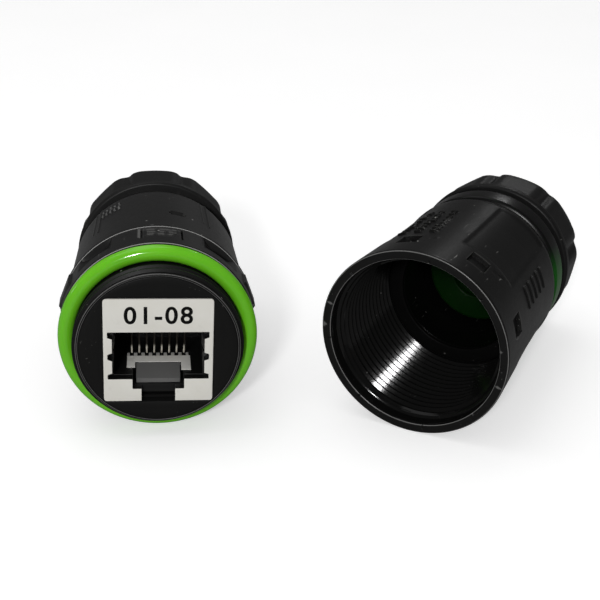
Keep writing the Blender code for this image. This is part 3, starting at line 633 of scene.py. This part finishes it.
def gland_nut(half, prefix, body, lobe_turn, material):
    """Lobed cap nut: round front flange, eight flat lobes with notches between, and a sloped back."""
    lobe = 45.0
    valleys = [lobe_turn + lobe / 2 + lobe * number for number in range(8)]
    stops = {wrapped(valley + side * step)
             for valley in valleys for side in (-1, 1) for step in (0.0, 1.0, 2.2, 3.6, 5.2, 7.0, 9.2)}
    angle = all_round(1.5, stops)
    off_lobe = (angle - lobe_turn + lobe / 2) % lobe - lobe / 2
    notch = np.exp(-((lobe / 2 - np.abs(off_lobe)) / 4.2) ** 2)
    lobed = np.minimum(11.35 / np.cos(np.radians(off_lobe)), 11.6) - 0.75 * notch
    flat = np.ones_like(angle)
    back_of_flange = NUT_FRONT + 1.4
    flange = softened([(9.75, NUT_FRONT, 0.0), (11.6, NUT_FRONT, 0.12), (11.9, NUT_FRONT + 0.3, 0.12),
                       (11.9, back_of_flange - 0.25, 0.12), (11.7, back_of_flange, 0.1)])
    rows = rows_of(flange[1:], angle)
    rows.append((np.minimum(lobed + 0.12, 11.68), back_of_flange * flat))
    rows.append((lobed + 0.03, (back_of_flange + 0.05) * flat))
    blend = 0.18
    for depth in places(back_of_flange + 0.15, NUT_BACK, 0.35, (38.6, 42.2)):
        slope = 13.0 - (depth - NUT_BACK + 6.0) * 3.8 / 6.2
        blunt = lobed - 0.2 * smooth((depth - 40.9) / 1.5) * (1.0 - notch)
        limit = slope + 0.1 * np.clip(depth - NUT_BACK + 0.3, 0.0, 0.3)
        lower = -np.log(np.exp(-blunt / blend) + np.exp(-limit / blend)) * blend
        rows.append((np.minimum(lower, lobed), depth * flat))
    hole_and_bore = softened([
        (9.2, NUT_BACK, 0.0), (5.4, NUT_BACK, 0.1), (5.2, NUT_BACK - 0.2, 0.1), (5.2, NUT_FLOOR, 0.08),
        (9.65, NUT_FLOOR, 0.1), (9.65, NUT_FRONT + 0.1, 0.05), (9.75, NUT_FRONT, 0.0),
    ])
    rows += rows_of(hole_and_bore, angle)
    name = f"{prefix}_gland_nut"
    grid(f"{name}_visual", half, rows, angle, material, body, (name,))


def gland_inside(half, prefix, fixed, carriage, seal_front, rubber, acetal):
    """Ribbed cable seal and slip washer of one gland."""
    angle = all_round(3.0)
    back = SHOULDER + 7.8
    bore = [(3.5, back, 0.15)]
    depth = back - 0.6
    while depth > seal_front + 1.2:
        bore += [(3.0, depth, 0.25), (3.0, depth - 0.8, 0.25), (3.4, depth - 1.15, 0.15)]
        depth -= 1.6
    bore += [(3.5, seal_front, 0.15)]
    outside = [(6.85, seal_front, 0.2), (7.25, seal_front + 0.4, 0.2), (7.25, back - 0.4, 0.2),
               (6.85, back, 0.2)]
    grid(f"{prefix}_cable_seal_visual", half, rows_of(softened(bore + outside), angle), angle, rubber,
         fixed, (f"{prefix}_cable_seal",))
    front = SHOULDER + 8.9
    washer = [(5.6, front, 0.12), (9.3, front, 0.12), (9.3, front + 0.6, 0.12), (5.6, front + 0.6, 0.12)]
    grid(f"{prefix}_slip_washer_visual", half, rows_of(softened(washer), angle), angle, acetal, carriage,
         (f"{prefix}_slip_washer",))


# --- jack half ---

HOUSING_SKIN = (
    (13.02, COLLAR_FRONT), (13.22, 5.3), (13.16, 10.62), (13.3, 10.75), (13.3, 11.1), (13.1, 11.3),
    (12.75, 11.4), (12.4, 18.0), (12.0, 26.8), (11.7, 28.2), (11.2, 28.9),
)
HOUSING_STEPS = {
    5.18, 5.3, 5.42, 6.4, 6.7, 6.9, 7.02, 10.3, 10.38, 10.5, 10.62, 10.68, 10.75, 11.0, 11.1, 11.2, 11.3,
    11.35, 11.4, 18.0, 26.8, 28.2,
}
COLLAR_STROKES = (
    (-4.2, 5.4, 9.15, 9.5), (6.0, 10.0, 9.15, 9.5), (-1.4, 10.4, 8.3, 8.65), (8.6, 5.0, 8.3, 8.65),
    (-4.6, 4.6, 7.45, 7.8), (4.2, 9.0, 7.45, 7.8),
)
PADS = (-70, 70)
SCOOPS = (40, 140, 220, 320)
FRAME_CENTRE = 2.2


def housing_features():
    """Collar frame with dashes in it, a block of raised bars and four pairs of ribs on the body."""
    found = []
    for side in (-1, 1):
        found.append((FRAME_CENTRE + side * 11.8, 1.5, 6.7, 10.3, -0.42, 0.1))
    found.append((FRAME_CENTRE, 25.0, 9.95, 10.35, -0.42, 0.1))
    for centre, width, front, back in COLLAR_STROKES:
        found.append((centre, width, front, back, -0.38, 0.08))
    for number in range(5):
        centre = -39.3 + 3.2 * number
        found.append((centre, 2.0, 23.0, 24.1, 0.22, 0.1))
        found.append((centre, 2.0, 24.7, 25.5 - 0.2 * (number % 2), 0.22, 0.1))
    for centre in (36.2, 138.2, 216.2, 318.2):
        found.append((centre, 1.3, 18.0, 28.0, 0.22, 0.18))
        found.append((centre - 4.6, 0.9, 18.6, 28.0, 0.15, 0.15))
    return found


def scooped(angle, depth, radius):
    """The collar's radius with the four thumb scoops and the two grip pads."""
    scoop_r = 5.6
    scoop_out = 17.7
    pad_out = 13.42
    for centre in SCOOPS:
        turn = np.radians(off_by(angle, centre))
        inside = scoop_r ** 2 - (scoop_out * np.sin(turn)) ** 2
        cut = scoop_out * np.cos(turn) - np.sqrt(np.maximum(inside, 0.0))
        ahead = (inside > 0) & (np.abs(turn) < 0.6)
        share = smooth(np.minimum(depth - 6.9, 10.5 - depth) / 0.12)
        lower = np.where(ahead & (cut < radius), cut, radius)
        radius = radius + (lower - radius) * share
    for centre in PADS:
        turn = np.radians(off_by(angle, centre))
        top = pad_out / np.maximum(np.cos(turn), 0.2)
        across = smooth((2.2 - np.abs(top * np.sin(turn))) / 0.3)
        along = smooth(np.minimum(depth - 7.2, 10.4 - depth) / 0.3)
        share = np.where(np.abs(turn) < 0.5, across * along, 0.0)
        radius = radius + (np.maximum(top, radius) - radius) * share
    return radius


def jack_housing():
    """Tapered housing: scooped collar with a frame, an oval dimple, raised bars, ribs and the barrel."""
    features = housing_features()
    stops, depths = patch_stops(features, 13.0)
    for centre in SCOOPS:
        stops |= {wrapped(centre + step) for step in (-12.8, -12.0, 12.0, 12.8)}
    for centre in PADS:
        stops |= {centre + step for step in (-9.3, -8.7, -8.0, 8.0, 8.7, 9.3)}
    angle = all_round(1.2, stops)
    skin = places(COLLAR_FRONT, 28.9, 0.5, depths | HOUSING_STEPS)
    flat = np.ones_like(angle)
    rows = []
    highlight_rows = []
    for depth in skin:
        base = float(skin_radius(HOUSING_SKIN, depth))
        radius = scooped(angle, depth, base * flat) + relief(features, angle, depth, base)
        dimple = (off_by(angle, 13.2) * 0.216 / 1.15) ** 2 + ((depth - 18.4) / 0.55) ** 2
        radius = radius - 0.45 * smooth((1.25 - dimple) * 3.0)
        # Rows at the collar's front edge and on its rear bead get bright painted highlight lines.
        if depth < 5.15 or 10.6 < depth < 10.66:
            highlight_rows.append(len(rows))
        rows.append((radius, depth * flat))
    neck = softened([(11.2, 28.9, 0.0), (10.5, 28.9, 0.15), (10.5, SHOULDER, 0.0),
                     (BARREL_R, SHOULDER, 0.0)])
    rows += rows_of(neck[1:], angle)
    rows += gland_barrel(angle, [(8.3, 27.5, 0.0), (10.6, 26.0, 0.0), (10.6, 13.0, 0.0), (11.05, 12.6, 0.0),
                                 (11.05, COLLAR_FRONT, 0.1)])
    grid("jack_housing_visual", JACK, rows, angle, JACK_NYLON, "jack_half", ("jack_housing",),
         [(JACK_PAINTED_HIGHLIGHT, highlight_rows)])


def outline_radius(angle, width, height, rise, corner):
    """How far a rounded rectangle's edge is from the axis, at each compass angle."""
    turn = np.radians(angle)
    low = np.zeros_like(angle)
    high = np.full_like(angle, 20.0)
    for _ in range(40):
        middle = (low + high) / 2
        across = np.abs(middle * np.sin(turn)) - (width / 2 - corner)
        up = np.abs(middle * np.cos(turn) - rise) - (height / 2 - corner)
        beyond = np.hypot(np.maximum(across, 0), np.maximum(up, 0))
        outside = beyond + np.minimum(np.maximum(across, up), 0) > corner
        high = np.where(outside, middle, high)
        low = np.where(outside, low, middle)
    return low


def jack_carrier():
    """Threaded nose: front disc round the label plate, a short thread, O-ring seat and plug."""
    disc_edge = 10.35
    corners = {math.degrees(math.atan2(side * 7.3, up)) + step
               for side in (-1, 1) for up in (7.4, -7.8) for step in (-3, -2, -1, 0, 1, 2, 3)}
    angle = all_round(1.5, corners)
    flat = np.ones_like(angle)
    recess = outline_radius(angle, LABEL_W + 0.2, LABEL_H + 0.2, LABEL_RISE, 0.7)
    window = outline_radius(angle, 14.1, 13.9, WINDOW_RISE, 0.9)
    rows = [(recess, 1.3 * flat), (recess, 0.10 * flat), (recess + 0.03, 0.03 * flat),
            (recess + 0.10, 0.0 * flat)]
    for share in (0.35, 0.7, 1.0):
        rows.append((recess + 0.10 + (disc_edge - recess - 0.10) * share, 0.0 * flat))
    # Two rings of rows at the disc's edge get painted highlight lines.
    nose_highlight_rows = [len(rows) + 3, len(rows) + 6]
    rows += rows_of([(10.42, 0.03), (10.46, 0.10), (10.52, 0.10), (10.56, 0.03), (10.62, 0.0), (10.68, 0.01),
                     (10.78, 0.06), (10.86, 0.14), (NOSE_R, 0.22)], angle)
    rows += thread_rows(angle, 0.3, 2.6, -PITCH / 4, NOSE_R, 11.33, 0.30, 0.11, 0.3)
    rows += rows_of([(NOSE_R, 2.65), (11.06, 2.72), (11.06, 5.0), (NOSE_R, 5.05)], angle)
    seat = softened([(NOSE_R, 7.3, 0.05), (10.25, 7.3, 0.1), (10.25, 8.2, 0.1), (NOSE_R, 8.2, 0.05),
                     (NOSE_R, 10.8, 0.1)])
    rows += rows_of(seat[1:], angle)
    rows += [(window, 10.8 * flat), (window, 1.3 * flat)]
    grid("jack_carrier_visual", JACK, rows, angle, JACK_NOSE_NYLON, "jack_half", ("jack_carrier",),
         [(NOSE_PAINTED_HIGHLIGHT, nose_highlight_rows)])


def ring(name, mid_r, section, depth, sides, node, flash):
    """A moulded rubber ring with a flash line round its outside, as a two-part mould leaves."""
    angle = all_round(1.5)
    flat = np.ones_like(angle)
    rows = []
    turns = sorted({round(TAU * side / sides, 5) for side in range(sides)} | {0.03, TAU - 0.03})
    for turn in turns:
        size = section - (0.0 if turn == 0.0 else flash)
        rows.append(((mid_r + size * math.cos(turn)) * flat, (depth + size * math.sin(turn)) * flat))
    grid(name, JACK, rows, angle, JACK_GREEN, "jack_half", (node,))


def slab(name, outline, front, back, material, nodes, fillet, turn=Matrix()):
    """A flat outline extruded between two depths, with its edges rounded, and then turned."""
    form = bmesh.new()
    corners = [form.verts.new((x, y, -front)) for x, y in outline]
    face = form.faces.new(corners)
    extruded = bmesh.ops.extrude_face_region(form, geom=[face])
    moved = [item for item in extruded["geom"] if isinstance(item, bmesh.types.BMVert)]
    bmesh.ops.translate(form, verts=moved, vec=(0.0, 0.0, front - back))
    bmesh.ops.recalc_face_normals(form, faces=form.faces)
    edges = [edge for edge in form.edges if edge.calc_face_angle(0.0) > 0.5]
    bmesh.ops.bevel(form, geom=edges, offset=fillet, segments=3, profile=0.6, affect="EDGES",
                    clamp_overlap=True)
    bmesh.ops.transform(form, matrix=JACK @ Matrix.Scale(MM, 4) @ turn, verts=form.verts)
    mesh = bpy.data.meshes.new(name)
    form.to_mesh(mesh)
    form.free()
    return settle(name, mesh, material, "jack_half", nodes, sharp=30.0)


def port_outline():
    """The label plate's outline with the RJ45 opening, which is open to its lower edge."""
    half_w = LABEL_W / 2
    low = LABEL_RISE - LABEL_H / 2
    slot = 2.2
    latch = 3.38
    plug = 6.02
    notch = 6.62
    right = [(slot, low), (slot, LATCH_FLOOR), (latch, LATCH_FLOOR), (latch, PORT_FLOOR),
             (notch, PORT_FLOOR), (notch, PORT_FLOOR + 0.6), (plug, PORT_FLOOR + 0.8),
             (plug, PORT_TOP - 4.15), (notch, PORT_TOP - 3.95), (notch, PORT_TOP - 3.25),
             (plug, PORT_TOP - 3.05), (plug, PORT_TOP - 0.95), (notch, PORT_TOP - 0.75),
             (notch, PORT_TOP)]
    left = [(-x, y) for x, y in reversed(right)]
    corner = 0.4
    rim = []
    for side_x, side_y, first in ((-1, -1, 270), (-1, 1, 180), (1, 1, 90), (1, -1, 0)):
        for part in range(4):
            turn = math.radians(first - 30 * part)
            rim.append((side_x * (half_w - corner) + corner * math.cos(turn),
                        LABEL_RISE + side_y * (LABEL_H / 2 - corner) + corner * math.sin(turn)))
    return right + left + rim


def port_plate():
    """The label plate; the walls of its opening get the core's black as painted shade, where they lie in shadow.
    """
    plate = slab("module_face_visual", port_outline(), 0.0, 1.2, LABEL_PLASTIC, ("module_face",),
                 0.10)
    plate.data.materials.append(JACK_PLASTIC)
    to_local = JACK.inverted()
    for face in plate.data.polygons:
        place = (to_local @ face.center) / MM
        outward = to_local.to_3x3() @ face.normal
        within = abs(place.x) < LABEL_W / 2 - 0.3 and place.y < LABEL_TOP - 0.3
        # Painted shade: the opening's side walls take the black core material in place of the pale plate.
        if within and abs(outward.z) < 0.8:
            face.material_index = 1


def port_floor_sheet():
    """A thin pale sheet on the plug's floor, in front of the comb and on both sides of the latch ramp."""
    outline = [(-4.2, -6.5), (4.4, -6.5), (4.4, -2.4), (3.1, -2.4), (3.1, -4.75), (-3.1, -4.75),
               (-3.1, -3.2), (-4.2, -3.2)]
    slab("port_floor_sheet_visual", outline, PORT_FLOOR + 0.01, PORT_FLOOR + 0.09, PORT_FLOOR_SHEET, (),
         0.02, Matrix.Rotation(math.pi / 2, 4, "X"))


def label_numbers():
    """Generic numbers on the plate, where the real one names its cable class."""
    curve = bpy.data.curves.new("label_numbers", "FONT")
    curve.body = "01-08"
    curve.size = 3.42
    curve.align_x = "CENTER"
    curve.space_character = 1.16
    curve.extrude = 0.012
    curve.offset = 0.065
    curve.resolution_u = 6
    holder = bpy.data.objects.new("label_numbers_curve", curve)
    bpy.context.scene.collection.objects.link(holder)
    bpy.context.view_layer.update()
    graph = bpy.context.evaluated_depsgraph_get()
    mesh = bpy.data.meshes.new_from_object(holder.evaluated_get(graph))
    bpy.data.objects.remove(holder)
    mesh.materials.clear()
    mesh.name = "label_numbers"
    mesh.transform(JACK @ Matrix.Scale(MM, 4) @ Matrix.Translation((0.0, LABEL_TOP - 3.48, 0.008)))
    settle("label_numbers", mesh, INK, "jack_half", sharp=30.0, merge=0.0001)


def smooth_path(points, steps):
    """A Catmull-Rom curve through points."""
    padded = [points[0] * 2 - points[1], *points, points[-1] * 2 - points[-2]]
    found = []
    for before, start, end, after in zip(padded, padded[1:], padded[2:], padded[3:]):
        for number in range(steps):
            share = number / steps
            bend = 2 * before - 5 * start + 4 * end - after
            twist = 3 * start - before - 3 * end + after
            found.append(0.5 * (2 * start + (end - before) * share + bend * share ** 2 + twist * share ** 3))
    return found + [points[-1]]


def contacts():
    """Eight sprung wires that slope from the roof of the opening down to the comb."""
    root = Vector((0.0, PORT_TOP + 0.32, -2.0))
    tip = Vector((0.0, PORT_FLOOR + 0.18, -7.35))
    span = tip - root
    path = smooth_path([root, root + Vector((0.0, span.y * 0.5, span.z * 0.47)),
                        root + Vector((0.0, span.y * 0.9, span.z * 0.88)), tip], 8)
    sides = 10
    half_w = 0.125
    half_h = 0.12
    for number in range(8):
        x = (number - 3.5) * CONTACT_PITCH
        form = bmesh.new()
        loops = []
        for index, point in enumerate(path):
            ahead = path[min(index + 1, len(path) - 1)] - path[max(index - 1, 0)]
            across = Vector((1.0, 0.0, 0.0))
            up = ahead.normalized().cross(across)
            loop = []
            for side in range(sides):
                turn = TAU * side / sides
                offset = across * (half_w * math.cos(turn)) + up * (half_h * math.sin(turn))
                loop.append(form.verts.new(point + offset + Vector((x, 0.0, 0.0))))
            loops.append(loop)
        for first, second in zip(loops, loops[1:]):
            for side in range(sides):
                after = (side + 1) % sides
                form.faces.new((first[side], first[after], second[after], second[side]))
        form.faces.new(loops[0])
        form.faces.new(loops[-1])
        bmesh.ops.transform(form, matrix=JACK @ Matrix.Scale(MM, 4), verts=form.verts)
        node = f"contact_{number + 1}"
        mesh = bpy.data.meshes.new(f"{node}_visual")
        form.to_mesh(mesh)
        form.free()
        settle(f"{node}_visual", mesh, CONTACT_PLATE, "contact_wires", (node,))


def keep_cad(node, material, bevel):
    """Shows a CAD node whose shape is right, with softened edges and a finished material."""
    thing = frame["nodes"][node]
    weld = thing.modifiers.new("weld", "WELD")
    weld.merge_threshold = 0.002 * MM
    soften = thing.modifiers.new("soft_edges", "BEVEL")
    soften.width = bevel * MM
    soften.segments = 2
    soften.limit_method = "ANGLE"
    soften.angle_limit = math.radians(35.0)
    soften.harden_normals = False
    thing.data.materials.clear()
    thing.data.materials.append(material)


def jack_inside():
    """The parts that keep their CAD shapes: the insert's inside, the terminals and both clamp cages."""
    kept = [
        ("jack_insert", JACK_PLASTIC, 0.06), ("latch_ramp", JACK_LATCH, 0.12),
        ("contact_comb", COMB_PLASTIC, 0.05), ("shield_shell", TINNED_STEEL, 0.04),
        ("shield_spring_left", TINNED_STEEL, 0.03), ("shield_spring_right", TINNED_STEEL, 0.03),
        ("circuit_board", BOARD, 0.05), ("idc_block", TERMINAL_PLASTIC, 0.08),
        ("jack_clamp_cage", JACK_PLASTIC, 0.06), ("sleeve_clamp_cage", SLEEVE_PLASTIC, 0.06),
    ]
    kept += [(f"idc_contact_{number}", GOLD_PLATE, 0.04) for number in range(1, 9)]
    for node, material, bevel in kept:
        keep_cad(node, material, bevel)


# --- stage ---

FLOOR_HALF = 3.0
FLOOR_GLOW = 0.42
FLOOR_BOUNCE = 0.30
SKY_LIGHT = 0.46
SKY_IN_GLINTS = 0.11

KEY_FROM = (-0.24, -0.86, 0.45)
LAMPS = (
    # name, direction it shines from, distance, size, watts, seen in reflections only
    ("key", KEY_FROM, 0.60, (0.06, 0.06), 1.6, False),
    ("key_glint", KEY_FROM, 0.58, (0.04, 0.04), 0.35, True),
    ("overhead", (-0.25, 0.25, 1.0), 0.55, (0.5, 0.4), 0.6, False),
    ("back_glint", (0.41, 0.70, 0.58), 0.60, (0.05, 0.05), 0.2, True),
    ("left_glint", (-0.94, 0.27, 0.21), 0.60, (0.07, 0.07), 0.08, True),
)

# The camera looks at a point given from the middle of the jack's mouth, and above the floor.
TARGET_RIGHT = 20.26
TARGET_BACK = 13.84
TARGET_HEIGHT = 13.0
CAMERA_RISE = 25.16            # degrees above the floor
CAMERA_SIDE = (-0.1106, -0.99387)
CAMERA_DISTANCE = 180.0
LENS = 75.5
SENSOR = 36.0


def floor():
    """A pale floor that gives off some light of its own, so that shadows on it stay faint."""
    mesh = bpy.data.meshes.new("floor")
    corners = [(x * FLOOR_HALF, y * FLOOR_HALF, 0.0) for x, y in ((-1, -1), (1, -1), (1, 1), (-1, 1))]
    mesh.from_pydata(corners, [], [(0, 1, 2, 3)])
    made, tree, shader = start_material("pale_floor")
    place = add(tree, "TexCoord").outputs["Object"]
    path = add(tree, "LightPath").outputs
    bounced = maths(tree, "MAXIMUM", path["Is Diffuse Ray"], path["Is Glossy Ray"])
    colour = mix(tree, noise(tree, place, 30.0), grey(0.80), grey(0.84))
    colour = mix(tree, bounced, colour, grey(FLOOR_BOUNCE))
    glow = maths(tree, "MULTIPLY", maths(tree, "SUBTRACT", 1.0, bounced), FLOOR_GLOW)
    tree.links.new(colour, shader.inputs["Base Color"])
    tree.links.new(glow, shader.inputs["Emission Strength"])
    shader.inputs["Roughness"].default_value = 0.7
    shader.inputs["Specular IOR Level"].default_value = 0.2
    shader.inputs["Emission Color"].default_value = grey(1.0)
    mesh.materials.append(made)
    plane = bpy.data.objects.new("floor", mesh)
    bpy.context.scene.collection.objects.link(plane)


def lamp(aim, name, direction, distance, size, power, glints_only):
    """A rectangular lamp at a distance from aim, facing it."""
    data = bpy.data.lights.new(name, "AREA")
    data.shape = "RECTANGLE"
    data.size, data.size_y = size
    data.energy = power
    thing = bpy.data.objects.new(name, data)
    away = Vector(direction).normalized()
    thing.location = aim + away * distance
    thing.rotation_euler = away.to_track_quat("Z", "Y").to_euler()
    thing.visible_diffuse = not glints_only
    bpy.context.scene.collection.objects.link(thing)


def studio_world():
    """White round the object, but dim in reflections, as in a studio with dark screens."""
    world = bpy.data.worlds.new("studio")
    bpy.context.scene.world = world
    world.use_nodes = True
    tree = world.node_tree
    path = add(tree, "LightPath").outputs
    glossy = maths(tree, "MULTIPLY_ADD", path["Is Glossy Ray"], SKY_IN_GLINTS - SKY_LIGHT, SKY_LIGHT)
    shown = maths(tree, "MAXIMUM", glossy, path["Is Camera Ray"])
    tree.links.new(shown, tree.nodes["Background"].inputs["Strength"])
    tree.nodes["Background"].inputs["Color"].default_value = (1.0, 1.0, 1.0, 1.0)


def camera(nose):
    """Stands in front of the pair, a little to its left, and gives back the point it looks at."""
    target = Vector((nose.x + TARGET_RIGHT * MM, nose.y + TARGET_BACK * MM, TARGET_HEIGHT * MM))
    rise = math.radians(CAMERA_RISE)
    away = Vector((*(side * math.cos(rise) for side in CAMERA_SIDE), math.sin(rise)))
    data = bpy.data.cameras.new("view")
    data.lens = LENS
    data.sensor_width = SENSOR
    data.clip_start = 0.01
    data.clip_end = 20.0
    thing = bpy.data.objects.new("view", data)
    thing.location = target + away * CAMERA_DISTANCE * MM
    thing.rotation_euler = away.to_track_quat("Z", "Y").to_euler()
    bpy.context.scene.collection.objects.link(thing)
    bpy.context.scene.camera = thing
    return target


# --- everything ---

coupling_sleeve()
rear_body()
sleeve_rings()
gland_nut(SLEEVE, "sleeve", "sleeve_nut", 11.5, SLEEVE_NUT_NYLON)
gland_inside(SLEEVE, "sleeve", "cable_half", "sleeve_nut_carriage", 25.0, SHADED_SEAL_GREEN, SLEEVE_ACETAL)
jack_housing()
jack_carrier()
ring("front_o_ring_visual", 12.2, 1.1, 3.9, 28, "front_o_ring", 0.02)
ring("carrier_o_ring_visual", 10.65, 0.35, 7.75, 12, "carrier_o_ring", 0.0)
port_plate()
port_floor_sheet()
label_numbers()
contacts()
jack_inside()
gland_nut(JACK, "jack", "jack_nut", -1.0, JACK_NUT_NYLON)
gland_inside(JACK, "jack", "jack_half", "jack_nut_carriage", 27.0, JACK_SEAL_GREEN, JACK_ACETAL)

floor()
studio_world()
looked_at = camera(JACK.to_translation())
for settings in LAMPS:
    lamp(looked_at, *settings)
bpy.context.scene.view_settings.view_transform = "Standard"
